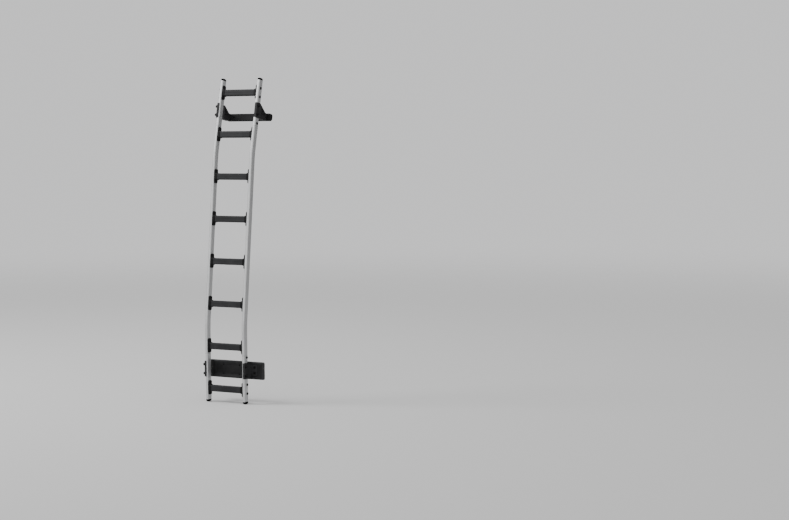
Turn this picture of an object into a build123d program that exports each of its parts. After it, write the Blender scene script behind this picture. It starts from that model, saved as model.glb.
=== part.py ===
from build123d import *
import math
import os

# Rear door ladder: two bent aluminium stiles in three lengths each, eight black
# rungs held by T-shaped end brackets, a crossbar on two gusset brackets near the
# top and a plate with folded edges on two box brackets near the bottom.
# Frame: +X to the right seen by someone climbing, +Y towards the door,
# +Z up. Origin on the back of the lower pad, midway between the stiles.
# All dimensions in millimetres, all angles in degrees.

# ---------------------------------------------------------------- driving dimensions
RUNG_COUNT = 8
RUNG_PITCH = 260.0          # along the stile
END_MARGIN = 90.0           # outermost rung to the very end of the stile's cap
END_TRIM = 4.0              # the lower end is this much shorter
STILE_SPACING = 272.0       # between the stiles' centre lines
STILE_W = 17.0              # across the ladder
STILE_D = 42.0              # front to back
STILE_R = 7.0               # outer corner radius
STILE_T = 2.0               # wall
BEND_DEG = 6.0              # each of the two bends
BEND_R = 800.0              # centre-line radius of a bend
BEND_FROM_RUNG = 130.0      # bend midway between rungs 2 and 3, and 6 and 7
SPLICE_FROM_RUNG = 50.0     # end lengths start this far beyond rungs 2 and 7
CAP_H = 13.0                # domed end cap

RUNG_H = 39.0
RUNG_D = 27.0
RUNG_R = 5.0
RUNG_T = 2.6                # wall
GROOVE_W = 2.0              # tread grooves
GROOVE_DEEP = 1.5
GROOVE_STEP = 4.2
GROOVES = 5

END_PLATE_H = 87.0          # T bracket: plate on the stile's inner side
END_PLATE_D = 32.0
END_PLATE_R = 9.0           # corner radius of that plate
END_PLATE_T = 7.0
END_PLATE_UP = 2.5          # plate's middle above the rung's
RUNG_FORWARD = 2.0          # rung's centre ahead of the stile's centre line
RUNG_DROP = 1.8             # rung's centre below its station
COLLAR_L = 11.0             # T bracket: collar round the rung
COLLAR_WALL = 2.5

SADDLE_T = 4.0              # bracket wall on the stile's outer side
LIP_T = 2.5                 # bracket lip on the stile's front
LIP_ON_TOP = 12.5           # width of the gusset's lip on the stile's front, from its outer edge
LIP_ON_LOW = 9.5            # and of the lower bracket's

TOP_FROM_RUNG = 113.0       # gusset bracket's centre below rung 1
TOP_H = 94.0                # gusset bracket along the stile
BAR_FRONT = 85.0            # stile's centre line to the crossbar's front
BAR_H = 45.0
BAR_D = 26.0
BAR_R = 5.0
BAR_T = 3.0
BAR_TOP_DROP = 46.5         # bracket's top to the crossbar's top
GUSSET_IN = 6.5             # gusset wider than the stile, on its inner side
BAR_OVER_RIGHT = 45.0       # crossbar past the right stile's centre line, cap included
BAR_OVER_LEFT = 12.5        # and past the left one
BAR_CAP_RIGHT_L = 24.0
BAR_CAP_LEFT_L = 17.0
BAR_END_R = 13.0            # rounding of the crossbar's ends seen from the front
BAR_HOLE_SPACING = 180.0

LOW_FROM_RUNG = 113.0       # lower bracket's centre above rung 8
LOW_H = 98.0
LOW_UP = 4.5                # lower bracket's middle above the plate's middle
PLATE_FRONT = 52.0          # stile's centre line to the channel plate's front
PLATE_H = 107.0
PLATE_D = 18.0              # channel depth, web included
PLATE_T = 3.0
PLATE_R = 8.0               # corner radius, and outer bend radius of the folded edges
PLATE_OVER_RIGHT = 98.0     # past the right stile's centre line
PLATE_OVER_LEFT = 60.0      # past the left stile's centre line
PAD_PROUD = 2.0             # rubber pad past the channel's flanges
FOOT_W = 54.0               # bracket foot, from the stile's centre line outwards
FOOT_H = 68.0
FOOT_T = 6.0
LOW_HOLE_X = 120.0          # fixing holes, across and up
LOW_HOLE_Z = 56.0
HOLE_R = 4.5                # clearance for M8

os.makedirs("parts", exist_ok=True)

# ---------------------------------------------------------------- layout along the stile
S_RUNG = [END_MARGIN + (RUNG_COUNT - k) * RUNG_PITCH for k in range(1, RUNG_COUNT + 1)]
S_END = 2 * END_MARGIN + (RUNG_COUNT - 1) * RUNG_PITCH
S_BEND_LOW = S_RUNG[6] + BEND_FROM_RUNG
S_BEND_TOP = S_RUNG[1] - BEND_FROM_RUNG
S_SPLICE_LOW = S_RUNG[6] - SPLICE_FROM_RUNG
S_SPLICE_TOP = S_RUNG[1] + SPLICE_FROM_RUNG
S_LOW = S_RUNG[7] + LOW_FROM_RUNG
S_TOP = S_RUNG[0] - TOP_FROM_RUNG

Y_STILE = -(PLATE_FRONT + PLATE_D + PAD_PROUD)   # stile's centre line at the lower bracket
HALF = STILE_SPACING / 2


def station(s):
    """Depth, height and lean of the stile's centre line at distance s from its lower end."""
    y, z, lean = Y_STILE, 0.0, 0.0
    if s <= S_BEND_LOW:
        return y, z + (s - S_LOW), lean
    z += S_BEND_LOW - S_LOW
    lean = BEND_DEG
    run = min(s, S_BEND_TOP) - S_BEND_LOW
    y += run * math.sin(math.radians(lean))
    z += run * math.cos(math.radians(lean))
    if s <= S_BEND_TOP:
        return y, z, lean
    lean = 2 * BEND_DEG
    run = s - S_BEND_TOP
    y += run * math.sin(math.radians(lean))
    z += run * math.cos(math.radians(lean))
    return y, z, lean


def place(s, x=0.0):
    """Local frame on the stile's centre line: Z along the stile, Y towards the door."""
    y, z, lean = station(s)
    return Location((x, y, z), (-lean, 0, 0))


def mirrored(shape):
    return mirror(shape, about=Plane.YZ)


def save(shape, name):
    if isinstance(shape, list):
        shape = Compound(children=shape) if len(shape) > 1 else shape[0]
    export_step(shape, os.path.join("parts", name + ".step"))


# ---------------------------------------------------------------- stiles
def stile_section():
    return RectangleRounded(STILE_W, STILE_D, STILE_R) - RectangleRounded(
        STILE_W - 2 * STILE_T, STILE_D - 2 * STILE_T, STILE_R - STILE_T)


low_len = S_SPLICE_LOW - CAP_H - END_TRIM
stile_low = place(CAP_H + END_TRIM, HALF) * extrude(stile_section(), amount=low_len)
top_len = S_END - CAP_H - S_SPLICE_TOP
stile_top = place(S_SPLICE_TOP, HALF) * extrude(stile_section(), amount=top_len)

route = []
for s in (S_SPLICE_LOW, S_BEND_LOW, S_BEND_TOP, S_SPLICE_TOP):
    y, z, _ = station(s)
    route.append((HALF, y, z))
path = FilletPolyline(*route, radius=BEND_R)
start = Plane(origin=path @ 0, x_dir=(1, 0, 0), z_dir=path % 0)
outer = sweep(start * RectangleRounded(STILE_W, STILE_D, STILE_R), path=path)
inner = sweep(start * RectangleRounded(STILE_W - 2 * STILE_T, STILE_D - 2 * STILE_T,
                                       STILE_R - STILE_T), path=path)
stile_main = outer - inner

for name, solid in (("bottom", stile_low), ("main", stile_main), ("top", stile_top)):
    save(solid, "stile_right_" + name)
    save(mirrored(solid), "stile_left_" + name)

# ---------------------------------------------------------------- end caps
cap = extrude(RectangleRounded(STILE_W, STILE_D, STILE_R), amount=CAP_H)
cap = fillet(cap.faces().sort_by(Axis.Z)[-1].edges(), radius=STILE_R - 0.6)
cap_top = place(S_END - CAP_H, HALF) * cap
y0, z0, lean0 = station(CAP_H + END_TRIM)
cap_bottom = Location((HALF, y0, z0), (180 - lean0, 0, 0)) * cap
save(cap_top, "cap_top_right")
save(mirrored(cap_top), "cap_top_left")
save(cap_bottom, "cap_bottom_right")
save(mirrored(cap_bottom), "cap_bottom_left")

# ---------------------------------------------------------------- rungs
RUNG_HALF = HALF - STILE_W / 2 - END_PLATE_T
profile = RectangleRounded(RUNG_D, RUNG_H, RUNG_R)
for i in range(GROOVES):
    u = (i - (GROOVES - 1) / 2) * GROOVE_STEP
    profile -= Pos(u, RUNG_H / 2 - GROOVE_DEEP / 2) * Rectangle(GROOVE_W, GROOVE_DEEP)
for side in (-1, 1):
    profile -= Pos(side * (RUNG_D / 2 - 0.5), 1.0) * Rectangle(1.0, 2.0)
bore_h = RUNG_H - 2 * RUNG_T - GROOVE_DEEP
profile -= Pos(0, -GROOVE_DEEP / 2) * RectangleRounded(RUNG_D - 2 * RUNG_T - 1.0, bore_h, 2.5)
rung = extrude(Plane.YZ * profile, amount=RUNG_HALF, both=True)
envelope = extrude(Plane.YZ * RectangleRounded(RUNG_D, RUNG_H, RUNG_R), amount=RUNG_HALF, both=True)

# ---------------------------------------------------------------- rung end brackets
x_plate = RUNG_HALF
plate = extrude(Plane.YZ.offset(x_plate) * Pos(0, END_PLATE_UP) * RectangleRounded(END_PLATE_D, END_PLATE_H, END_PLATE_R),
                amount=END_PLATE_T)
plate = fillet(plate.faces().sort_by(Axis.X)[0].edges(), radius=2.0)
collar = extrude(Plane.YZ.offset(x_plate - COLLAR_L)
                 * RectangleRounded(RUNG_D + 2 * COLLAR_WALL, RUNG_H + 2 * COLLAR_WALL, RUNG_R + COLLAR_WALL),
                 amount=COLLAR_L + END_PLATE_T - 1.5)
collar = chamfer(collar.faces().sort_by(Axis.X)[0].edges(), length=1.5)
end_right = plate + collar - envelope
end_left = mirrored(end_right)

for k, s in enumerate(S_RUNG, 1):
    seat = place(s) * Pos(0, -RUNG_FORWARD, -RUNG_DROP)
    save(seat * rung, f"rung_{k}")
    save([seat * end_left, seat * end_right], f"rung_ends_{k}")

# ---------------------------------------------------------------- top brackets and crossbar
bar_top = TOP_H / 2 - BAR_TOP_DROP
bar_mid = bar_top - BAR_H / 2
bar_bottom = bar_top - BAR_H
front = -(STILE_D / 2 + LIP_T)
knee = 12.0                                   # top edge runs back to here, then slopes down to the crossbar
heel = 76.0                                   # the slope ends here, level with the crossbar's top
outline = [(front, TOP_H / 2), (knee, TOP_H / 2), (heel, bar_top), (BAR_FRONT, bar_top),
           (BAR_FRONT, bar_bottom), (front, -TOP_H / 2)]
side = make_face(Polyline(*outline, close=True))
side = fillet(side.vertices().sort_by_distance((knee, TOP_H / 2))[0], radius=8.0)
side = fillet(side.vertices().sort_by_distance((front, TOP_H / 2))[0], radius=3.0)
side = fillet(side.vertices().group_by(Axis.X)[0].sort_by(Axis.Y)[0], radius=7.0)
side = fillet(side.vertices().sort_by_distance((heel, bar_top))[0], radius=22.0)
x_in, x_out = -STILE_W / 2, STILE_W / 2 + SADDLE_T
gusset_in = x_in - GUSSET_IN
gusset = extrude(Plane.YZ.offset(gusset_in) * side, amount=x_out - gusset_in)
stile_room = Pos(0, 0, -150) * extrude(RectangleRounded(STILE_W, STILE_D, STILE_R), amount=300)
# the inner part of the stile's front and its inner side stay open
open_w = 40.0


def open_side(lip):
    return Pos(STILE_W / 2 - lip - open_w / 2, -5, 0) * Box(open_w, STILE_D + 10, 300)


gusset = gusset - stile_room - open_side(LIP_ON_TOP)
# shallow pocket inside a raised rim, on both sides of the gusset
rim = 7.0
pocket = [(STILE_D / 2 + 8, TOP_H / 2 - rim - 14), (heel - 4, bar_top - rim), (BAR_FRONT - rim, bar_top - rim),
          (BAR_FRONT - rim, bar_bottom + rim), (STILE_D / 2 + 8, bar_bottom + rim - 3)]
pocket_face = make_face(Polyline(*pocket, close=True))
gusset -= extrude(Plane.YZ.offset(x_out - 4.0) * pocket_face, amount=6.0)
gusset -= extrude(Plane.YZ.offset(gusset_in - 2.0) * pocket_face, amount=6.0)
top_bracket = place(S_TOP, HALF) * gusset
save(top_bracket, "top_bracket_right")
save(mirrored(top_bracket), "top_bracket_left")

bar_y = BAR_FRONT + BAR_D / 2
bar_left = -(HALF + BAR_OVER_LEFT) + BAR_CAP_LEFT_L
bar_right = HALF + BAR_OVER_RIGHT - BAR_CAP_RIGHT_L
ring = RectangleRounded(BAR_D, BAR_H, BAR_R) - RectangleRounded(BAR_D - 2 * BAR_T, BAR_H - 2 * BAR_T, BAR_R - BAR_T)
bar = extrude(Plane.YZ.offset(bar_left) * ring, amount=bar_right - bar_left)
for x in (-BAR_HOLE_SPACING / 2, BAR_HOLE_SPACING / 2):
    bar -= Pos(x, 0, 0) * (Rot(90, 0, 0) * Cylinder(HOLE_R, BAR_D + 10))
bar = Pos(0, bar_y, bar_mid) * bar
save(place(S_TOP) * bar, "top_crossbar")


def bar_cap(length):
    """Cap from x = 0 outwards, its end rounded seen from the front and from above."""
    block = extrude(Plane.YZ * RectangleRounded(BAR_D, BAR_H, BAR_R), amount=length)
    ends = Pos(0, BAR_D, 0) * extrude(Plane.XZ * RectangleRounded(2 * length, BAR_H, BAR_END_R), amount=2 * BAR_D)
    plan = Pos(0, 0, -BAR_H) * extrude(RectangleRounded(2 * length, BAR_D, 4.0), amount=2 * BAR_H)
    return block & ends & plan


bar_at = place(S_TOP) * Pos(0, bar_y, bar_mid)
cap_right = bar_at * Pos(bar_right, 0, 0) * bar_cap(BAR_CAP_RIGHT_L)
cap_left = bar_at * Pos(bar_left, 0, 0) * mirrored(bar_cap(BAR_CAP_LEFT_L))
save([cap_left, cap_right], "top_crossbar_caps")

# ---------------------------------------------------------------- lower channel plate and pad
x_left = -HALF - PLATE_OVER_LEFT
x_right = HALF + PLATE_OVER_RIGHT
y_front = Y_STILE + PLATE_FRONT
x_mid = (x_left + x_right) / 2


def tray(inset, depth, bend):
    """Block from y = 0 backwards with rounded corners and a rounded front edge."""
    outline = RectangleRounded(x_right - x_left - 2 * inset, PLATE_H - 2 * inset, PLATE_R + 0.5 - inset)
    block = extrude(Plane.XZ * outline, amount=-depth)
    return fillet(block.faces().sort_by(Axis.Y)[0].edges(), radius=bend)


channel = Pos(x_mid, y_front, 0) * (tray(0, PLATE_D, PLATE_R) - Pos(0, PLATE_T, 0) * tray(PLATE_T, PLATE_D, PLATE_R - PLATE_T))
pad_t = PLATE_D - PLATE_T + PAD_PROUD
pad = Pos(x_mid, -pad_t, 0) * tray(PLATE_T + 1.0, pad_t, PLATE_R - PLATE_T - 1.0)
for x in (-LOW_HOLE_X / 2, LOW_HOLE_X / 2):
    for z in (-LOW_HOLE_Z / 2, LOW_HOLE_Z / 2):
        drill = Pos(x, y_front, z) * (Rot(90, 0, 0) * Cylinder(HOLE_R, 80))
        channel -= drill
        pad -= drill
save(channel, "lower_channel_plate")
save(pad, "lower_pad")

# ---------------------------------------------------------------- lower brackets
y_foot = PLATE_FRONT - FOOT_T
web_y = STILE_D / 2
shell = Pos((x_in + x_out) / 2, (front + PLATE_FRONT) / 2, 0) * Box(x_out - x_in, PLATE_FRONT - front, LOW_H)
shell = fillet(shell.edges().filter_by(Axis.X).group_by(Axis.Y)[0], radius=4.0)
shell = shell - stile_room - open_side(LIP_ON_LOW)
hollow_d = y_foot - web_y - SADDLE_T
shell -= Pos((x_in + x_out) / 2, web_y + SADDLE_T + hollow_d / 2, 0) * Box(x_out - x_in - 2 * SADDLE_T, hollow_d, LOW_H + 10)
foot = Pos((x_out + FOOT_W) / 2 - 1, y_foot + FOOT_T / 2, 0) * Box(FOOT_W - x_out + 2, FOOT_T, FOOT_H)
foot = fillet(foot.edges().filter_by(Axis.Y).group_by(Axis.X)[-1], radius=6.0)
bracket = Pos(HALF, Y_STILE, LOW_UP) * (shell + foot)
save(bracket, "lower_bracket_right")
save(mirrored(bracket), "lower_bracket_left")

print("stile length", S_END, "stations: top bracket", S_TOP, "lower bracket", S_LOW)
print("main stile volume", round(stile_main.volume), "section x length", round(stile_section().area * path.length))
for k, s in enumerate(S_RUNG, 1):
    print("rung", k, [round(v, 2) for v in station(s)])
print("crossbar mid", place(S_TOP) * Pos(0, BAR_FRONT + BAR_D, bar_mid))
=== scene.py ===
import math

import bmesh
import bpy
from mathutils import Matrix, Vector


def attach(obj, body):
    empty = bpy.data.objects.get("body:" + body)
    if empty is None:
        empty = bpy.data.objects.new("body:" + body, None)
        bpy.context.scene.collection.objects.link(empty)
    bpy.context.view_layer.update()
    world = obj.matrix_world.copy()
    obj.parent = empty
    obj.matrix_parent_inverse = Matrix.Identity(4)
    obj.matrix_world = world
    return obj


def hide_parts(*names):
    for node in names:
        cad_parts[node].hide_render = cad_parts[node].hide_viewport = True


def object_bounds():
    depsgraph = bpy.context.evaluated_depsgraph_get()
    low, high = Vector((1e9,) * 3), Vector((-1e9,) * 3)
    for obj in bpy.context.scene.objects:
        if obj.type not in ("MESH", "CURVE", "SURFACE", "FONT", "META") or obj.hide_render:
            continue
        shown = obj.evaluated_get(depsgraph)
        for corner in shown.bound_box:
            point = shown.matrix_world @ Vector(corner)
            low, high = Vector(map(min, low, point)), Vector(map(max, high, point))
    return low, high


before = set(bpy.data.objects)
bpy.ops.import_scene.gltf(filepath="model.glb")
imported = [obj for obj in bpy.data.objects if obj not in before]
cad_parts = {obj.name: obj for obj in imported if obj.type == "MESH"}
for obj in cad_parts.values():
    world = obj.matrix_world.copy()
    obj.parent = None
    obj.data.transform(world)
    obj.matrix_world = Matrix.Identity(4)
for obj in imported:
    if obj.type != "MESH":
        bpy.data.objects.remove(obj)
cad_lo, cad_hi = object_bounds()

MM = 0.001
COLL = bpy.context.scene.collection

# ------------------------------------------------------------------ layout, in millimetres
S_RUNG = [1910.0, 1650.0, 1390.0, 1130.0, 870.0, 610.0, 350.0, 90.0]
S_START, S_END, CAP_H = 4.0, 2000.0, 13.0
S_LOW, S_TOP = 203.0, 1797.0
S_BEND_LOW, S_BEND_TOP = 480.0, 1520.0
S_SPLICE_LOW, S_SPLICE_TOP = 300.0, 1700.0
BEND, BEND_R = 6.0, 800.0
HALF, Y_STILE = 136.0, -72.0
STILE_W, STILE_D, STILE_R = 17.0, 42.0, 7.0


def station(s):
    """Depth, height and lean of a stile's centre line at distance s from its lower end."""
    if s <= S_BEND_LOW:
        return Y_STILE, s - S_LOW, 0.0
    a = math.radians(BEND)
    run = min(s, S_BEND_TOP) - S_BEND_LOW
    y, z = Y_STILE + run * math.sin(a), S_BEND_LOW - S_LOW + run * math.cos(a)
    if s <= S_BEND_TOP:
        return y, z, BEND
    run = s - S_BEND_TOP
    return y + run * math.sin(2 * a), z + run * math.cos(2 * a), 2 * BEND


def place(s, x=0.0):
    """Frame on the stile's centre line: Z along the stile, Y towards the back."""
    y, z, lean = station(s)
    return Matrix.Translation(Vector((x, y, z)) * MM) @ Matrix.Rotation(math.radians(-lean), 4, "X")


# ------------------------------------------------------------------ mesh helpers
def build(name, verts, faces, material, slot, at=None, sharp=35.0, attrs=None, flip=False):
    """A piece from vertices in millimetres, shaded smooth below the sharp angle."""
    mesh = bpy.data.meshes.new(name)
    mesh.from_pydata([(v[0] * MM, v[1] * MM, v[2] * MM) for v in verts], [], [tuple(reversed(f)) if flip else tuple(f) for f in faces])
    mesh.validate()
    for p in mesh.polygons:
        p.use_smooth = True
    mesh.set_sharp_from_angle(angle=math.radians(sharp))
    for key, values in (attrs or {}).items():
        kind = "FLOAT_VECTOR" if isinstance(values[0], (tuple, list)) else "FLOAT"
        a = mesh.attributes.new(key, kind, "POINT")
        for i, v in enumerate(values):
            if kind == "FLOAT_VECTOR":
                a.data[i].vector = v
            else:
                a.data[i].value = v
    return show(name, mesh, material, slot, at)


def shape(verts, faces, sharp=35.0, attrs=None):
    """A mesh in local millimetres, to be shown in several places."""
    o = build("shape", verts, faces, None, None, None, sharp, attrs)
    mesh = fix(o.data)
    bpy.data.objects.remove(o)
    return mesh


def show(name, mesh, material, slot, at=None):
    if at is not None:
        mesh = mesh.copy()
        mesh.name = name
        mesh.transform(at)
    if material and not mesh.materials:
        mesh.materials.append(material)
    o = bpy.data.objects.new(name, mesh)
    COLL.objects.link(o)
    if slot:
        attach(o, "root")
    return o


def loft(rings, close_start=True, close_end=True):
    """Vertices and faces of a skin over rings with equal point counts, with flat ends."""
    n = len(rings[0])
    verts = [p for ring in rings for p in ring]
    faces = []
    for k in range(len(rings) - 1):
        a, b = k * n, (k + 1) * n
        for i in range(n):
            j = (i + 1) % n
            faces.append((a + i, a + j, b + j, b + i))
    if close_start:
        faces.append(tuple(range(n - 1, -1, -1)))
    if close_end:
        a = (len(rings) - 1) * n
        faces.append(tuple(range(a, a + n)))
    return verts, faces


def rounded(w, d, r, seg=8):
    """Points round a rounded rectangle, w along the first axis and d along the second."""
    r = max(0.05, min(r, w / 2 - 0.01, d / 2 - 0.01))
    pts = []
    for cx, cy, a0 in ((1, 1, 0), (-1, 1, 90), (-1, -1, 180), (1, -1, 270)):
        for i in range(seg + 1):
            a = math.radians(a0 + 90.0 * i / seg)
            pts.append((cx * (w / 2 - r) + r * math.cos(a), cy * (d / 2 - r) + r * math.sin(a)))
    return pts


def rounded_polygon(corners, seg=6):
    """Polygon from (a, b, radius) corners, counter-clockwise."""
    out, n = [], len(corners)
    for i, (px, py, r) in enumerate(corners):
        p = Vector((px, py))
        u = (Vector(corners[i - 1][:2]) - p).normalized()
        v = (Vector(corners[(i + 1) % n][:2]) - p).normalized()
        half = u.angle(v) / 2
        if r <= 0:
            out.append((px, py))
            continue
        t = r / math.tan(half)
        c = p + (u + v).normalized() * (r / math.sin(half))
        a0, a1 = p + u * t - c, p + v * t - c
        sweep = math.pi - 2 * half
        turn = 1.0 if a0.x * a1.y - a0.y * a1.x > 0 else -1.0
        for k in range(seg + 1):
            g = turn * sweep * k / seg
            out.append((c.x + a0.x * math.cos(g) - a0.y * math.sin(g), c.y + a0.x * math.sin(g) + a0.y * math.cos(g)))
    return out


def solid_yz(outline, x0, x1):
    """Mesh of a y-z outline run from x0 to x1."""
    v, f = loft([[(x, y, z) for y, z in outline] for x in (x0, x1)])
    mesh = bpy.data.meshes.new("solid")
    mesh.from_pydata([Vector(p) * MM for p in v], [], f)
    return fix(mesh)


def solid_xy(outline, z0, z1):
    v, f = loft([[(x, y, z) for x, y in outline] for z in (z0, z1)])
    mesh = bpy.data.meshes.new("solid")
    mesh.from_pydata([Vector(p) * MM for p in v], [], f)
    return fix(mesh)


def solid_xz(outline, y0, y1):
    v, f = loft([[(x, y, z) for x, z in outline] for y in (y0, y1)])
    mesh = bpy.data.meshes.new("solid")
    mesh.from_pydata([Vector(p) * MM for p in v], [], f)
    return fix(mesh)


def fix(mesh):
    bm = bmesh.new()
    bm.from_mesh(mesh)
    bmesh.ops.recalc_face_normals(bm, faces=bm.faces)
    bm.to_mesh(mesh)
    bm.free()
    return mesh


def carve(base, steps, bevel=0.8, segments=2, angle=38.0):
    """Applies boolean steps (operation, mesh) to base, then rounds the sharp edges."""
    o = bpy.data.objects.new("carve", base)
    COLL.objects.link(o)
    tools = []
    for kind, mesh in steps:
        t = bpy.data.objects.new("carve_tool", mesh)
        COLL.objects.link(t)
        tools.append(t)
        m = o.modifiers.new("b", "BOOLEAN")
        m.operation, m.object, m.solver = kind, t, "EXACT"
    if bevel:
        w = o.modifiers.new("weld", "WELD")
        w.merge_threshold = 0.00002
        m = o.modifiers.new("round", "BEVEL")
        m.width, m.segments = bevel * MM, segments
        m.limit_method, m.angle_limit = "ANGLE", math.radians(angle)
        m.use_clamp_overlap = False
        m.miter_outer = "MITER_ARC"
    bpy.context.view_layer.update()
    made = bpy.data.meshes.new_from_object(o.evaluated_get(bpy.context.evaluated_depsgraph_get()))
    for t in [o, *tools]:
        bpy.data.objects.remove(t)
    for p in made.polygons:
        p.use_smooth = True
    made.set_sharp_from_angle(angle=math.radians(32))
    return made


def mirrored(mesh, name):
    """Copy of a mesh mirrored left to right."""
    m = mesh.copy()
    m.name = name
    m.transform(Matrix.Diagonal((-1, 1, 1, 1)))
    m.flip_normals()
    return m


# ------------------------------------------------------------------ material helpers
def shader(name):
    m = bpy.data.materials.new(name)
    m.use_nodes = True
    t = m.node_tree
    t.nodes.clear()
    out = t.nodes.new("ShaderNodeOutputMaterial")
    b = t.nodes.new("ShaderNodeBsdfPrincipled")
    t.links.new(b.outputs["BSDF"], out.inputs["Surface"])
    return m, t, b


def coords(t, scale, attribute=None):
    if attribute:
        n = t.nodes.new("ShaderNodeAttribute")
        n.attribute_name = attribute
        src = n.outputs["Vector"]
    else:
        src = t.nodes.new("ShaderNodeTexCoord").outputs["Object"]
    m = t.nodes.new("ShaderNodeMapping")
    m.inputs["Scale"].default_value = scale
    t.links.new(src, m.inputs["Vector"])
    return m.outputs["Vector"]


def noise(t, vector, scale=1.0, detail=3.0, rough=0.5):
    n = t.nodes.new("ShaderNodeTexNoise")
    n.inputs["Scale"].default_value = scale
    n.inputs["Detail"].default_value = detail
    n.inputs["Roughness"].default_value = rough
    t.links.new(vector, n.inputs["Vector"])
    return n.outputs["Fac"]


def spread(t, value, lo, hi, a, b):
    """Maps value from lo..hi to a..b, clamped."""
    n = t.nodes.new("ShaderNodeMapRange")
    for key, v in (("From Min", lo), ("From Max", hi), ("To Min", a), ("To Max", b)):
        n.inputs[key].default_value = v
    t.links.new(value, n.inputs["Value"])
    return n.outputs["Result"]


def blend(t, fac, a, b):
    n = t.nodes.new("ShaderNodeMix")
    n.data_type = "RGBA"
    t.links.new(fac, n.inputs["Factor"])
    for key, v in ((6, a), (7, b)):
        if isinstance(v, tuple):
            n.inputs[key].default_value = (*v, 1.0)
        else:
            t.links.new(v, n.inputs[key])
    return n.outputs[2]


def bump(t, b, height, strength, distance, after=None):
    n = t.nodes.new("ShaderNodeBump")
    n.inputs["Strength"].default_value = strength
    n.inputs["Distance"].default_value = distance
    t.links.new(height, n.inputs["Height"])
    if after is not None:
        t.links.new(after, n.inputs["Normal"])
    t.links.new(n.outputs["Normal"], b.inputs["Normal"])
    return n.outputs["Normal"]


def aluminium(name, lo, hi):
    """Satin anodised extrusion: fine lines along the tube and faint cloudy handling marks."""
    m, t, b = shader(name)
    streak = noise(t, coords(t, (420, 420, 5), "run"), 1.0, 4.0)
    cloud = noise(t, coords(t, (1, 1, 1), "run"), 14.0, 5.0, 0.6)
    tone = blend(t, spread(t, streak, 0.3, 0.7, 0.0, 1.0), lo, hi)
    tone = blend(t, spread(t, cloud, 0.45, 0.75, 0.0, 0.35), tone, tuple(0.82 * c for c in lo))
    t.links.new(tone, b.inputs["Base Color"])
    b.inputs["Metallic"].default_value = 0.9
    t.links.new(spread(t, cloud, 0.3, 0.75, 0.42, 0.52), b.inputs["Roughness"])
    bump(t, b, noise(t, coords(t, (2600, 2600, 9), "run"), 1.0, 2.0), 0.22, 0.00006)
    return m


def math_node(t, kind, a, b=None):
    n = t.nodes.new("ShaderNodeMath")
    n.operation = kind
    for i, v in enumerate((a, b)):
        if v is None:
            continue
        if isinstance(v, float):
            n.inputs[i].default_value = v
        else:
            t.links.new(v, n.inputs[i])
    return n.outputs[0]


def near_rim(t, cx, hx, hz, width):
    """1 at the edge of a plate lying in the x-z plane, falling to 0 a given width inside it; used as the mask of a
    painted highlight.
    """
    n = t.nodes.new("ShaderNodeSeparateXYZ")
    t.links.new(t.nodes.new("ShaderNodeTexCoord").outputs["Object"], n.inputs[0])
    x = math_node(t, "SUBTRACT", math_node(t, "ABSOLUTE", math_node(t, "SUBTRACT", n.outputs["X"], cx)), hx - width)
    z = math_node(t, "SUBTRACT", math_node(t, "ABSOLUTE", n.outputs["Z"]), hz - width)
    return spread(t, math_node(t, "MAXIMUM", x, z), 0.0, width, 0.0, 1.0)


def black(name, base, light, rough, gloss, grain, strength, distance, wear=None, wear_and_highlight_tone=(0.1, 0.1, 0.1), edge_highlight=None):
    """Black coated or moulded finish with a fine grain, faint dust, optional rubbed edges from a wear attribute and
    an optional painted highlight along a plate's edges.
    """
    m, t, b = shader(name)
    dust = noise(t, coords(t, (1, 1, 1)), 18.0, 6.0, 0.62)
    fleck = noise(t, coords(t, (1, 1, 1)), grain, 2.0)
    tone = blend(t, spread(t, dust, 0.42, 0.72, 0.0, 1.0), base, light)
    if wear:
        n = t.nodes.new("ShaderNodeAttribute")
        n.attribute_name = wear
        patch = spread(t, noise(t, coords(t, (1, 1, 1)), 55.0, 4.0, 0.6), 0.4, 0.7, 0.15, 1.0)
        k = t.nodes.new("ShaderNodeMath")
        k.operation = "MULTIPLY"
        t.links.new(n.outputs["Fac"], k.inputs[0])
        t.links.new(patch, k.inputs[1])
        tone = blend(t, k.outputs[0], tone, wear_and_highlight_tone)
    # Painted highlight: lightens the plate's edges, where its rounded folds catch the light.
    if edge_highlight:
        patch = spread(t, noise(t, coords(t, (1, 1, 1)), 40.0, 4.0, 0.6), 0.35, 0.7, 0.55, 1.0)
        tone = blend(t, math_node(t, "MULTIPLY", near_rim(t, *edge_highlight), patch), tone, wear_and_highlight_tone)
    t.links.new(tone, b.inputs["Base Color"])
    t.links.new(spread(t, dust, 0.35, 0.75, rough - 0.05, rough + 0.1), b.inputs["Roughness"])
    b.inputs["Specular IOR Level"].default_value = gloss
    bump(t, b, fleck, strength, distance)
    return m


M_STILE = aluminium("stile_satin", (0.70, 0.705, 0.71), (0.80, 0.805, 0.81))
# Painted light: the end sections are the same extrusion as the main stile, given a lighter tone for the extra light
# they catch.
M_STILE_END_LIT = aluminium("stile_satin_ends_lit", (0.74, 0.745, 0.75), (0.84, 0.845, 0.85))
M_RUNG = black("rung_coat", (0.0255, 0.026, 0.0275), (0.0385, 0.039, 0.0405), 0.5, 0.18, 900.0, 0.25, 0.0001, "wear", (0.075, 0.075, 0.077))
M_MOULD = black("moulded_nylon", (0.006, 0.006, 0.0063), (0.012, 0.012, 0.0124), 0.52, 0.15, 1500.0, 0.3, 0.0001)
M_CAP = black("cap_nylon", (0.004, 0.004, 0.0042), (0.007, 0.007, 0.0072), 0.7, 0.05, 1500.0, 0.3, 0.0001)
M_GUSSET = black("gusset_nylon", (0.026, 0.026, 0.027), (0.043, 0.043, 0.0445), 0.52, 0.15, 1500.0, 0.3, 0.0001)
M_SADDLE = black("saddle_coat", (0.023, 0.023, 0.024), (0.037, 0.037, 0.0385), 0.48, 0.18, 800.0, 0.25, 0.00012)
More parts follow.
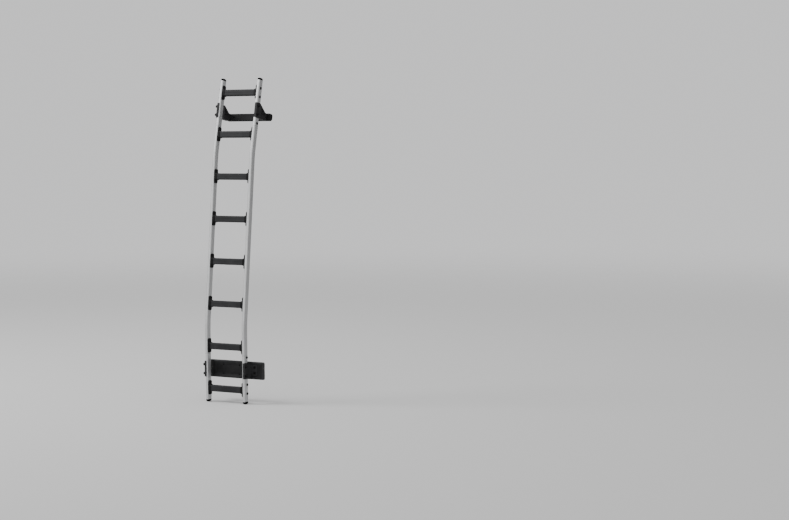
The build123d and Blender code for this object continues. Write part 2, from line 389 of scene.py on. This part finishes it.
M_COAT = black("powder_coat", (0.012, 0.012, 0.0126), (0.02, 0.02, 0.0207), 0.48, 0.18, 800.0, 0.25, 0.00012)
# The lower plate's coat carries a painted highlight along its edges, standing in for light caught by the rounded
# folds.
M_PLATE = black("plate_coat_edge_highlight", (0.014, 0.014, 0.0147), (0.024, 0.024, 0.0249), 0.48, 0.18, 800.0, 0.25, 0.00012,
                wear_and_highlight_tone=(0.045, 0.045, 0.047), edge_highlight=(0.019, 0.215, 0.0535, 0.03))
M_BOLT = black("bolt_black", (0.004, 0.004, 0.0042), (0.010, 0.010, 0.0104), 0.42, 0.15, 1200.0, 0.15, 0.00006)
M_RUBBER = black("pad_rubber_grain", (0.010, 0.010, 0.010), (0.018, 0.018, 0.018), 0.78, 0.15, 1100.0, 0.5, 0.0002)
M_SEAL = black("splice_seal", (0.05, 0.05, 0.052), (0.07, 0.07, 0.072), 0.6, 0.2, 1500.0, 0.2, 0.00005)

# ------------------------------------------------------------------ stiles
TANGENT = BEND_R * math.tan(math.radians(BEND / 2))


def stile_path(s0, s1):
    """Stations (s, depth, height, lean) from s0 to s1, with the bends' arcs worked in."""
    marks = [s0]
    for s in (S_BEND_LOW, S_BEND_TOP):
        if s0 < s < s1:
            marks += [s - TANGENT, s + TANGENT]
    marks.append(s1)
    out = []
    for k in range(len(marks) - 1):
        a, b = marks[k], marks[k + 1]
        if k % 2:
            y, z, lean = station(a)
            d, n = math.radians(lean), 12
            for i in range(1, n):
                g = math.radians(BEND) * i / n
                along, across = BEND_R * math.sin(g), BEND_R * (1 - math.cos(g))
                out.append((a + (b - a) * i / n, y + along * math.sin(d) + across * math.cos(d),
                            z + along * math.cos(d) - across * math.sin(d), lean + BEND * i / n))
        else:
            n = max(2, int((b - a) / 60))
            for i in range(n + 1):
                s = a + (b - a) * i / n
                out.append((s, *station(s)))
    return out


def stile_tube(name, node, s0, s1, side, material):
    rings, run = [], []
    section = rounded(STILE_W, STILE_D, STILE_R, 10)
    for s, y, z, lean in stile_path(s0, s1):
        c, k = math.cos(math.radians(lean)), math.sin(math.radians(lean))
        rings.append([(side * HALF + u, y + v * c, z - v * k) for u, v in section])
        run += [((side * HALF + u) * MM, v * MM, s * MM) for u, v in section]
    v, f = loft(rings)
    o = build(name, v, f, material, "stile_aluminium", attrs={"run": run}, sharp=60)
    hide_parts(node)


for side, word in ((-1, "left"), (1, "right")):
    stile_tube(f"stile_tube_{word}_bottom", f"stile_{word}_bottom", S_START + CAP_H, S_SPLICE_LOW, side, M_STILE_END_LIT)
    stile_tube(f"stile_tube_{word}_main", f"stile_{word}_main", S_SPLICE_LOW, S_SPLICE_TOP, side, M_STILE)
    stile_tube(f"stile_tube_{word}_top", f"stile_{word}_top", S_SPLICE_TOP, S_END - CAP_H, side, M_STILE_END_LIT)
    for s, where in ((S_SPLICE_LOW, "low"), (S_SPLICE_TOP, "top")):
        rings = []
        for grow, z in ((-1.0, -0.45), (0.22, -0.45), (0.22, 0.45), (-1.0, 0.45)):
            rings.append([(u, v, z) for u, v in rounded(STILE_W + 2 * grow, STILE_D + 2 * grow, STILE_R + grow, 10)])
        v, f = loft(rings)
        build(f"splice_seal_{word}_{where}", v, f, M_SEAL, "moulded_black", place(s, side * HALF))

# ------------------------------------------------------------------ end caps
rings = []
for inset, z in ((0.6, 0.0), (0.6, -1.6), (0.0, -1.7), (-0.15, -1.4), (-0.15, 3.4)):
    rings.append((inset, z))
rings = [[(x, y, z) for x, y in rounded(STILE_W - 2 * i, STILE_D - 2 * i, STILE_R - i, 8)] for i, z in rings]
for i in range(1, 15):
    a = math.radians(88.0 * i / 14)
    k = math.cos(a) ** 0.75
    rings.append([(x, y, 3.4 + 9.5 * math.sin(a)) for x, y in rounded((STILE_W + 0.3) * k, (STILE_D + 0.3) * k, (STILE_R + 0.15) * k, 8)])
v, f = loft(rings)
cap_mesh = shape(v, f, 40)
for side, word in ((-1, "left"), (1, "right")):
    for where in ("top", "bottom"):
        if where == "top":
            at = place(S_END - CAP_H, side * HALF)
        else:
            at = place(S_START + CAP_H, side * HALF) @ Matrix.Rotation(math.pi, 4, "X")
        o = show(f"end_cap_{where}_{word}", cap_mesh, M_CAP, "moulded_black", at)
        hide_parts(f"cap_{where}_{word}")

# ------------------------------------------------------------------ rungs
RUNG_D, RUNG_H, RUNG_R = 27.0, 39.0, 5.0


def rung_profile():
    """Front face up, tread, back face down, underside; grooves along both faces and the tread."""
    y0, z0, cy, cz = RUNG_D / 2, RUNG_H / 2, RUNG_D / 2 - RUNG_R, RUNG_H / 2 - RUNG_R
    face = [(0.0, -cz), (0.0, -0.1), (0.25, 0.05), (0.9, 0.2), (0.9, 1.8), (0.25, 1.95), (0.0, 2.1), (0.0, cz)]
    pts = [(-y0 + d, z) for d, z in face]
    for a in range(170, 100, -10):
        pts.append((-cy + RUNG_R * math.cos(math.radians(a)), cz + RUNG_R * math.sin(math.radians(a))))
    for u in (-8.4, -4.2, 0.0, 4.2, 8.4):
        pts += [(u - 1.05, z0 - 0.02), (u - 0.85, z0 - 1.5), (u + 0.85, z0 - 1.5), (u + 1.05, z0 - 0.02)]
    for a in range(70, 0, -10):
        pts.append((cy + RUNG_R * math.cos(math.radians(a)), cz + RUNG_R * math.sin(math.radians(a))))
    pts += [(y0 - d, z) for d, z in reversed(face)]
    for a in range(-10, -90, -10):
        pts.append((cy + RUNG_R * math.cos(math.radians(a)), -cz + RUNG_R * math.sin(math.radians(a))))
    pts += [(cy, -z0), (-cy, -z0)]
    for a in range(-100, -180, -10):
        pts.append((-cy + RUNG_R * math.cos(math.radians(a)), -cz + RUNG_R * math.sin(math.radians(a))))
    return pts


def tread():
    profile, rows = rung_profile(), [(-120.5, False)]
    pitch, gap, n = 6.5, 2.3, 32
    for i in range(n):
        x = (i - (n - 1) / 2) * pitch
        rows += [(x - gap / 2 - 0.25, False), (x - gap / 2 + 0.1, True), (x + gap / 2 - 0.1, True), (x + gap / 2 + 0.25, False)]
    rows.append((120.5, False))
    rings, wear = [], []
    for x, low in rows:
        ring = []
        for y, z in profile:
            top = RUNG_H / 2
            floor = top - (1.5 if abs(y) < 8 else 2.2)
            ring.append((x, y, min(z, floor) if low else z))
            high = z > top - 0.3 and not low
            wear.append(1.0 if high else (0.25 if z > top - 2.5 and abs(y) > 11 else 0.0))
        rings.append(ring)
    v, f = loft(rings)
    return v, f, wear


v, f, wear = tread()
tread_mesh = shape(v, f, 30, {"wear": wear})
AHEAD = Matrix.Translation(Vector((0, -2.0, -1.8)) * MM)
for k, s in enumerate(S_RUNG, 1):
    o = show(f"tread_{k}", tread_mesh, M_RUNG, "rung_black", place(s) @ AHEAD)
    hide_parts(f"rung_{k}")


# ------------------------------------------------------------------ T brackets
def reach(angle, w, d, r, up=0.0):
    """Distance along an angle to the edge of a rounded rectangle whose middle lies a little above the centre."""
    c, s = math.cos(angle), math.sin(angle)
    lo, hi = 0.0, w + d
    for _ in range(32):
        m = (lo + hi) / 2
        qx, qy = abs(m * c) - (w / 2 - r), abs(m * s - up) - (d / 2 - r)
        out = math.hypot(max(qx, 0.0), max(qy, 0.0)) + min(max(qx, qy), 0.0) - r
        lo, hi = (m, hi) if out < 0 else (lo, m)
    return lo


def t_bracket():
    n = 144
    angles = [2 * math.pi * (i + 0.5) / n for i in range(n)]

    def ring(x, *shapes):
        pts = []
        for a in angles:
            r = max(reach(a, *q) for q in shapes)
            if len(shapes) > 1:
                p = 22.0
                r = sum(reach(a, *q) ** p for q in shapes) ** (1 / p)
            pts.append((x, r * math.cos(a), r * math.sin(a)))
        return pts

    def collar(i=0.0):
        return (31.8 - 2 * i, 44.0 - 2 * i, 7.5 - i)

    def plate(i=0.0):
        return (32.0 - 2 * i, 87.0 - 2 * i, 9.0 - i, 2.5)

    rung = (RUNG_D + 0.2, RUNG_H + 0.2, RUNG_R + 0.1)
    lip = (RUNG_D + 1.0, RUNG_H + 1.0, RUNG_R + 0.5)
    rings = [ring(113.5, rung), ring(109.8, rung), ring(109.5, lip), ring(109.5, collar(1.3)), ring(109.9, collar(0.4)), ring(110.8, collar(0.0))]
    for i in range(1, 11):
        g = i / 10.0
        x = 111.0 + 9.4 * g
        h = 40.5 + 38.0 * (1 - math.sqrt(max(0.0, 1 - g * g)))
        rings.append(ring(x, collar(), (27.0, min(h, 80.0), 9.0, 2.5 * g)))
    rings += [ring(120.5, collar(), plate(1.1)), ring(120.8, collar(), plate(0.4)), ring(121.4, collar(), plate(0.08)), ring(122.2, collar(), plate(0.0)),
              ring(125.9, collar(), plate(0.0)), ring(126.9, collar(0.5), plate(0.0)), ring(127.5, collar(1.2), plate(0.3))]
    return loft(rings)


v, f = t_bracket()
t_mesh = shape(v, f, 38)
for k, s in enumerate(S_RUNG, 1):
    for side, word in ((-1, "left"), (1, "right")):
        at = place(s) @ AHEAD if side > 0 else place(s) @ AHEAD @ Matrix.Rotation(math.pi, 4, "Z")
        o = show(f"rung_bracket_{word}_{k}", t_mesh, M_MOULD, "moulded_black", at)
        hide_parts(f"rung_ends_{k}")

# ------------------------------------------------------------------ top brackets
stile_hole = rounded(STILE_W + 0.1, STILE_D + 0.1, STILE_R, 8)


X_IN, X_OUT, FRONT = -STILE_W / 2, STILE_W / 2 + 4.0, -STILE_D / 2 - 2.5
X_GUSSET = X_IN - 6.5


def disc(y, z, r, n=36):
    return [(y + r * math.cos(2 * math.pi * i / n), z + r * math.sin(2 * math.pi * i / n)) for i in range(n)]


def opened(lip):
    """Tools that take the stile's room, its inner side and the inner part of its front out of a bracket."""
    edge = STILE_W / 2 - lip
    return [("DIFFERENCE", solid_xy(stile_hole, -90, 90)),
            ("DIFFERENCE", solid_xy([(-40, -35), (edge, -35), (edge, STILE_D / 2 - 0.05), (-40, STILE_D / 2 - 0.05)], -90, 90))]


outline = rounded_polygon([(FRONT, -47, 7), (85, -44.5, 0), (85, 0.5, 0), (76, 0.5, 22), (12, 47, 8), (FRONT, 47, 3)])
upper = rounded_polygon([(29, -7, 3), (63, -1.5, 3), (29, 23.0, 3)])
lower = rounded_polygon([(29, -39, 3), (79, -38, 3), (79, -6, 3), (70, -5, 3), (29, -12, 3)])
panel = rounded_polygon([(-18, -39, 4), (23, -38, 4), (23, 27, 4), (8, 40, 5), (-18, 40, 5)])
steps = opened(12.5)
for tool in (upper, lower):
    steps.append(("DIFFERENCE", solid_yz(tool, X_OUT - 8.0, X_OUT + 5)))
    steps.append(("DIFFERENCE", solid_yz(tool, X_GUSSET - 5, X_GUSSET + 9.0)))
steps.append(("DIFFERENCE", solid_yz(panel, X_OUT - 1.8, X_OUT + 5)))
for z in (26.0, -26.0):
    steps.append(("UNION", solid_yz(disc(-11.0, z, 10.5), X_OUT - 2.4, X_OUT)))
gusset = carve(solid_yz(outline, X_GUSSET, X_OUT), steps, 0.9, 2)
o = show("gusset_right", gusset, M_GUSSET, "moulded_black", place(S_TOP, HALF))
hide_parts("top_bracket_right")
o = show("gusset_left", mirrored(gusset, "gusset_left"), M_GUSSET, "moulded_black", place(S_TOP, -HALF))
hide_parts("top_bracket_left")

# ------------------------------------------------------------------ crossbar end caps
def bar_end(length):
    """Cap from x = 0 outwards with a parting groove, its end rounded seen from the front and from above."""
    rows = [(0.0, 0.0, 0.0), (1.0, 0.0, 0.0), (1.4, 0.6, 0.6), (2.4, 0.6, 0.6), (2.8, 0.0, 0.0)]
    for k in range(17):
        a = math.radians(90.0 * k / 16)
        x = length - 13.0 + 13.0 * math.sin(a)
        past = max(0.0, x - (length - 4.0))
        rows.append((x, 4.0 - math.sqrt(max(0.0, 16.0 - past * past)), 13.0 * (1 - math.cos(a))))
    return loft([[(x, y, z) for y, z in rounded(25.9 - 2 * dy, 44.9 - 2 * dz, 5.0, 8)] for x, dy, dz in rows])


at = place(S_TOP) @ Matrix.Translation(Vector((0, 98.0, -22.0)) * MM)
for name, x, length, turn in (("bar_end_right", 157.0, 24.0, 0.0), ("bar_end_left", -131.5, 17.0, math.pi)):
    v, f = bar_end(length)
    o = show(name, shape(v, f, 40), M_MOULD, "moulded_black", at @ Matrix.Translation(Vector((x, 0, 0)) * MM) @ Matrix.Rotation(turn, 4, "Z"))
    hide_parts("top_crossbar_caps")

# ------------------------------------------------------------------ lower brackets
body = rounded_polygon([(FRONT, -49, 4), (52, -49, 0), (52, 49, 0), (FRONT, 49, 4)])
steps = opened(9.5)
steps.append(("DIFFERENCE", solid_xy(rounded_polygon([(X_IN + 4, 25, 2), (X_OUT - 4, 25, 2), (X_OUT - 4, 46, 2), (X_IN + 4, 46, 2)]), -90, 90)))
steps.append(("DIFFERENCE", solid_yz(rounded_polygon([(-18, -42, 5), (40, -42, 5), (40, 42, 5), (-18, 42, 5)]), X_OUT - 1.4, X_OUT + 5)))
for z in (26.5, -29.5):
    steps.append(("UNION", solid_yz(disc(-11.0, z, 10.5), X_OUT - 2.4, X_OUT)))
foot = bpy.data.meshes.new("foot")
fv, ff = loft([[(x, y, z) for x, z in rounded_polygon([(10, -34, 0), (54, -34, 6), (54, 34, 6), (10, 34, 0)])] for y in (46.0, 52.0)])
foot.from_pydata([Vector(p) * MM for p in fv], [], ff)
steps.append(("UNION", fix(foot)))
shoe = carve(solid_yz(body, X_IN, X_OUT), steps, 0.9, 2)
LIFT = Matrix.Translation(Vector((0, 0, 4.5)) * MM)
o = show("saddle_right", shoe, M_SADDLE, "coated_black", place(S_LOW, HALF) @ LIFT)
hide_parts("lower_bracket_right")
o = show("saddle_left", mirrored(shoe, "saddle_left"), M_SADDLE, "coated_black", place(S_LOW, -HALF) @ LIFT)
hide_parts("lower_bracket_left")


# ------------------------------------------------------------------ bolts
def turned(rings, n=48):
    """Rings of (radius, height, hexagon share) about Z."""
    out = []
    for r, h, hexed in rings:
        ring = []
        for i in range(n):
            a = 2 * math.pi * i / n
            flat = math.cos(math.radians(30)) / math.cos((a % (math.pi / 3)) - math.pi / 6)
            q = r * ((1 - hexed) + hexed * flat)
            ring.append((q * math.cos(a), q * math.sin(a), h))
        out.append(ring)
    return loft(out)


thread = []
for i in range(5):
    thread += [(3.55, 9.3 + 1.0 * i, 0), (4.0, 9.6 + 1.0 * i, 0), (4.0, 9.9 + 1.0 * i, 0), (3.55, 10.2 + 1.0 * i, 0)]
dome = [(6.6 * math.cos(math.radians(a)), 7.6 + 6.4 * math.sin(math.radians(a)), 0) for a in range(0, 86, 12)]
acorn_rings = [(8.6, 0, 0), (8.6, 1.1, 0), (8.2, 1.5, 0), (6.6, 1.5, 0), (7.6, 2.0, 0.9), (7.8, 2.4, 1), (7.8, 6.4, 1), (7.5, 7.0, 0.9), (6.7, 7.3, 0)] + dome
acorn = turned(acorn_rings)
long_acorn = turned([(1.3 * r, 1.2 * h, q) for r, h, q in acorn_rings])
button = turned([(8.6, 0, 0), (8.6, 0.9, 0), (8.2, 1.2, 0), (7.2, 1.2, 0), (7.2, 2.1, 0), (6.9, 3.1, 0), (6.2, 4.0, 0), (5.1, 4.6, 0), (3.9, 4.9, 0),
                 (3.4, 4.95, 1), (3.3, 2.5, 1)])
locknut = turned([(8.2, 0, 0), (8.2, 1.1, 0), (7.8, 1.5, 0), (6.4, 1.5, 0), (7.4, 2.1, 0.9), (7.5, 2.5, 1), (7.5, 6.4, 1), (7.3, 6.9, 0.9), (6.3, 7.3, 0),
                  (5.9, 7.5, 0), (5.8, 8.6, 0), (5.4, 9.1, 0), (4.3, 9.2, 0)] + thread + [(3.55, 14.0, 0), (3.0, 14.3, 0)])
hexhead = turned([(8.5, 0, 0), (8.5, 1.1, 0), (8.1, 1.5, 0), (6.6, 1.5, 0.9), (6.6, 5.6, 1), (6.3, 6.1, 0.6), (5.5, 6.5, 0), (5.0, 6.6, 0), (4.6, 6.3, 0)])


def bolts(name, shape, frames, slot="coated_black"):
    v, f = [], []
    for m in frames:
        base = len(v)
        v += [tuple((m @ (Vector(p) * MM)) / MM) for p in shape[0]]
        f += [tuple(base + i for i in q) for q in shape[1]]
    return build(name, v, f, M_BOLT, slot, sharp=30)


for side, word in ((-1, "left"), (1, "right")):
    out = Matrix.Rotation(side * math.pi / 2, 4, "Y")
    frames = []
    for s, y in ((1935.0, 3.0), (1881.0, 3.0), (1716.0, 3.0), (288.0, 9.0), (121.5, 9.5), (67.5, 9.5)):
        frames.append(place(s, side * (HALF + STILE_W / 2)) @ Matrix.Translation(Vector((0, y, 0)) * MM) @ out @ Matrix.Rotation(0.3 * s, 4, "Z"))
    bolts(f"stile_bolts_{word}", button if side > 0 else locknut, frames)
    frames = []
    for s, z in ((S_TOP, 26.0), (S_TOP, -26.0), (S_LOW, 31.0), (S_LOW, -25.0)):
        frames.append(place(s, side * (HALF + X_OUT)) @ Matrix.Translation(Vector((0, -11.0, z)) * MM) @ out @ Matrix.Rotation(0.7 * z, 4, "Z"))
    bolts(f"bracket_nuts_{word}", acorn if side > 0 else long_acorn, frames)
    frames = []
    for x, z in ((39.5, 18.0), (39.5, -18.0)):
        frames.append(place(S_LOW, side * (HALF + x)) @ Matrix.Translation(Vector((0, 46.0, z + 4.5)) * MM) @ Matrix.Rotation(math.pi / 2, 4, "X") @ Matrix.Rotation(z, 4, "Z"))
    bolts(f"foot_bolts_{word}", hexhead, frames)

# ------------------------------------------------------------------ lower plate
PLATE_X, PLATE_L, PLATE_H = 19.0, 430.0, 107.0
rings = []
for inset, y in ((8.0, -17.0), (5.5, -16.33), (3.67, -14.5), (3.0, -12.0), (3.0, -2.0), (0.0, -2.0)):
    rings.append((inset, y))
for k in range(9):
    a = math.radians(90.0 * k / 8)
    rings.append((8.0 * (1 - math.cos(a)), -12.0 - 8.0 * math.sin(a)))
v, f = loft([[(PLATE_X + x, y, z) for x, z in rounded(PLATE_L - 2 * i, PLATE_H - 2 * i, 8.5 - min(i, 8.0), 8)] for i, y in rings])
tray = bpy.data.meshes.new("tray")
tray.from_pydata([Vector(p) * MM for p in v], [], f)
steps = [("DIFFERENCE", solid_xz(rounded_polygon([(-112, -41, 7), (112, -41, 7), (112, 41, 7), (-112, 41, 7)]), -25, -18.7)),
         ("DIFFERENCE", solid_xz(rounded_polygon([(198, -41, 7), (226, -41, 7), (226, 41, 7), (198, 41, 7)]), -25, -18.7))]
for x in (-60.0, 60.0):
    for z in (-28.0, 28.0):
        steps.append(("DIFFERENCE", solid_xz(disc(x, z, 4.5), -30, 5)))
o = show("pressed_plate", carve(fix(tray), steps, 0.7, 2), M_PLATE, "coated_black")
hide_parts("lower_channel_plate")

# ------------------------------------------------------------------ carried-over nodes
for node, material in (("top_crossbar", M_COAT), ("lower_pad", M_RUBBER)):
    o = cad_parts[node]
    o.data.materials.clear()
    o.data.materials.append(material)

# ------------------------------------------------------------------ floor, light and camera
floor = bpy.data.meshes.new("floor")
R = 30.0
z = cad_lo.z - 0.0006
floor.from_pydata([(-R, -R, z), (R, -R, z), (R, R, z), (-R, R, z)], [], [(0, 1, 2, 3)])
floor_obj = bpy.data.objects.new("floor", floor)
COLL.objects.link(floor_obj)
m, t, b = shader("floor_pale")
t.links.new(blend(t, t.nodes.new("ShaderNodeLightPath").outputs["Is Camera Ray"], (0.4, 0.4, 0.4), (0.72, 0.72, 0.72)), b.inputs["Base Color"])
b.inputs["Roughness"].default_value = 0.95
b.inputs["Specular IOR Level"].default_value = 0.1
clear = t.nodes.new("ShaderNodeBsdfTransparent")
mix = t.nodes.new("ShaderNodeMixShader")
length = t.nodes.new("ShaderNodeVectorMath")
length.operation = "LENGTH"
t.links.new(t.nodes.new("ShaderNodeTexCoord").outputs["Object"], length.inputs[0])
fade = spread(t, length.outputs["Value"], 4.0, 16.0, 0.0, 1.0)
fade.node.interpolation_type = "SMOOTHERSTEP"
t.links.new(fade, mix.inputs[0])
t.links.new(b.outputs[0], mix.inputs[1])
t.links.new(clear.outputs[0], mix.inputs[2])
t.links.new(mix.outputs[0], t.nodes["Material Output"].inputs["Surface"])
floor.materials.append(m)

world = bpy.data.worlds.new("studio")
bpy.context.scene.world = world
world.use_nodes = True
t = world.node_tree
t.nodes.clear()
out = t.nodes.new("ShaderNodeOutputWorld")
seen = t.nodes.new("ShaderNodeBackground")
seen.inputs["Color"].default_value = (0.82, 0.82, 0.825, 1.0)
dome = t.nodes.new("ShaderNodeBackground")
dot = t.nodes.new("ShaderNodeVectorMath")
dot.operation = "DOT_PRODUCT"
dot.inputs[1].default_value = Vector((0.28, -0.82, 0.5)).normalized()
t.links.new(t.nodes.new("ShaderNodeTexCoord").outputs["Generated"], dot.inputs[0])
t.links.new(spread(t, dot.outputs["Value"], -0.57, 0.6, 0.04, 1.13), dome.inputs["Color"])
mix = t.nodes.new("ShaderNodeMixShader")
t.links.new(t.nodes.new("ShaderNodeLightPath").outputs["Is Camera Ray"], mix.inputs[0])
t.links.new(dome.outputs[0], mix.inputs[1])
t.links.new(seen.outputs[0], mix.inputs[2])
t.links.new(mix.outputs[0], out.inputs["Surface"])


def softbox(name, at, aim, size, power):
    d = bpy.data.lights.new(name, "AREA")
    d.shape, d.size, d.energy = "DISK", size, power
    o = bpy.data.objects.new(name, d)
    COLL.objects.link(o)
    o.location = at
    o.rotation_mode = "QUATERNION"
    o.rotation_quaternion = (Vector(aim) - Vector(at)).to_track_quat("-Z", "Y")


softbox("key", (-4.6, -2.6, 6.0), (0, 0, 0.8), 3.0, 330.0)

F, YAW, PITCH, ROLL = 1852.8, math.radians(29.9963), math.radians(4.026), math.radians(-0.475)
fwd, right, up = Vector((-math.sin(YAW), math.cos(YAW), 0)), Vector((math.cos(YAW), math.sin(YAW), 0)), Vector((0, 0, 1))
f2, u2 = fwd * math.cos(PITCH) - up * math.sin(PITCH), up * math.cos(PITCH) + fwd * math.sin(PITCH)
r3, u3 = right * math.cos(ROLL) + u2 * math.sin(ROLL), u2 * math.cos(ROLL) - right * math.sin(ROLL)
data = bpy.data.cameras.new("camera")
data.sensor_fit, data.sensor_width, data.lens = "HORIZONTAL", 36.0, F / 789.0 * 36.0
data.clip_start, data.clip_end = 0.05, 200.0
camera = bpy.data.objects.new("camera", data)
COLL.objects.link(camera)
camera.matrix_world = Matrix(((r3.x, u3.x, -f2.x, 6.5167), (r3.y, u3.y, -f2.y, -9.2981), (r3.z, u3.z, -f2.z, 1.4589), (0, 0, 0, 1)))
bpy.context.scene.camera = camera
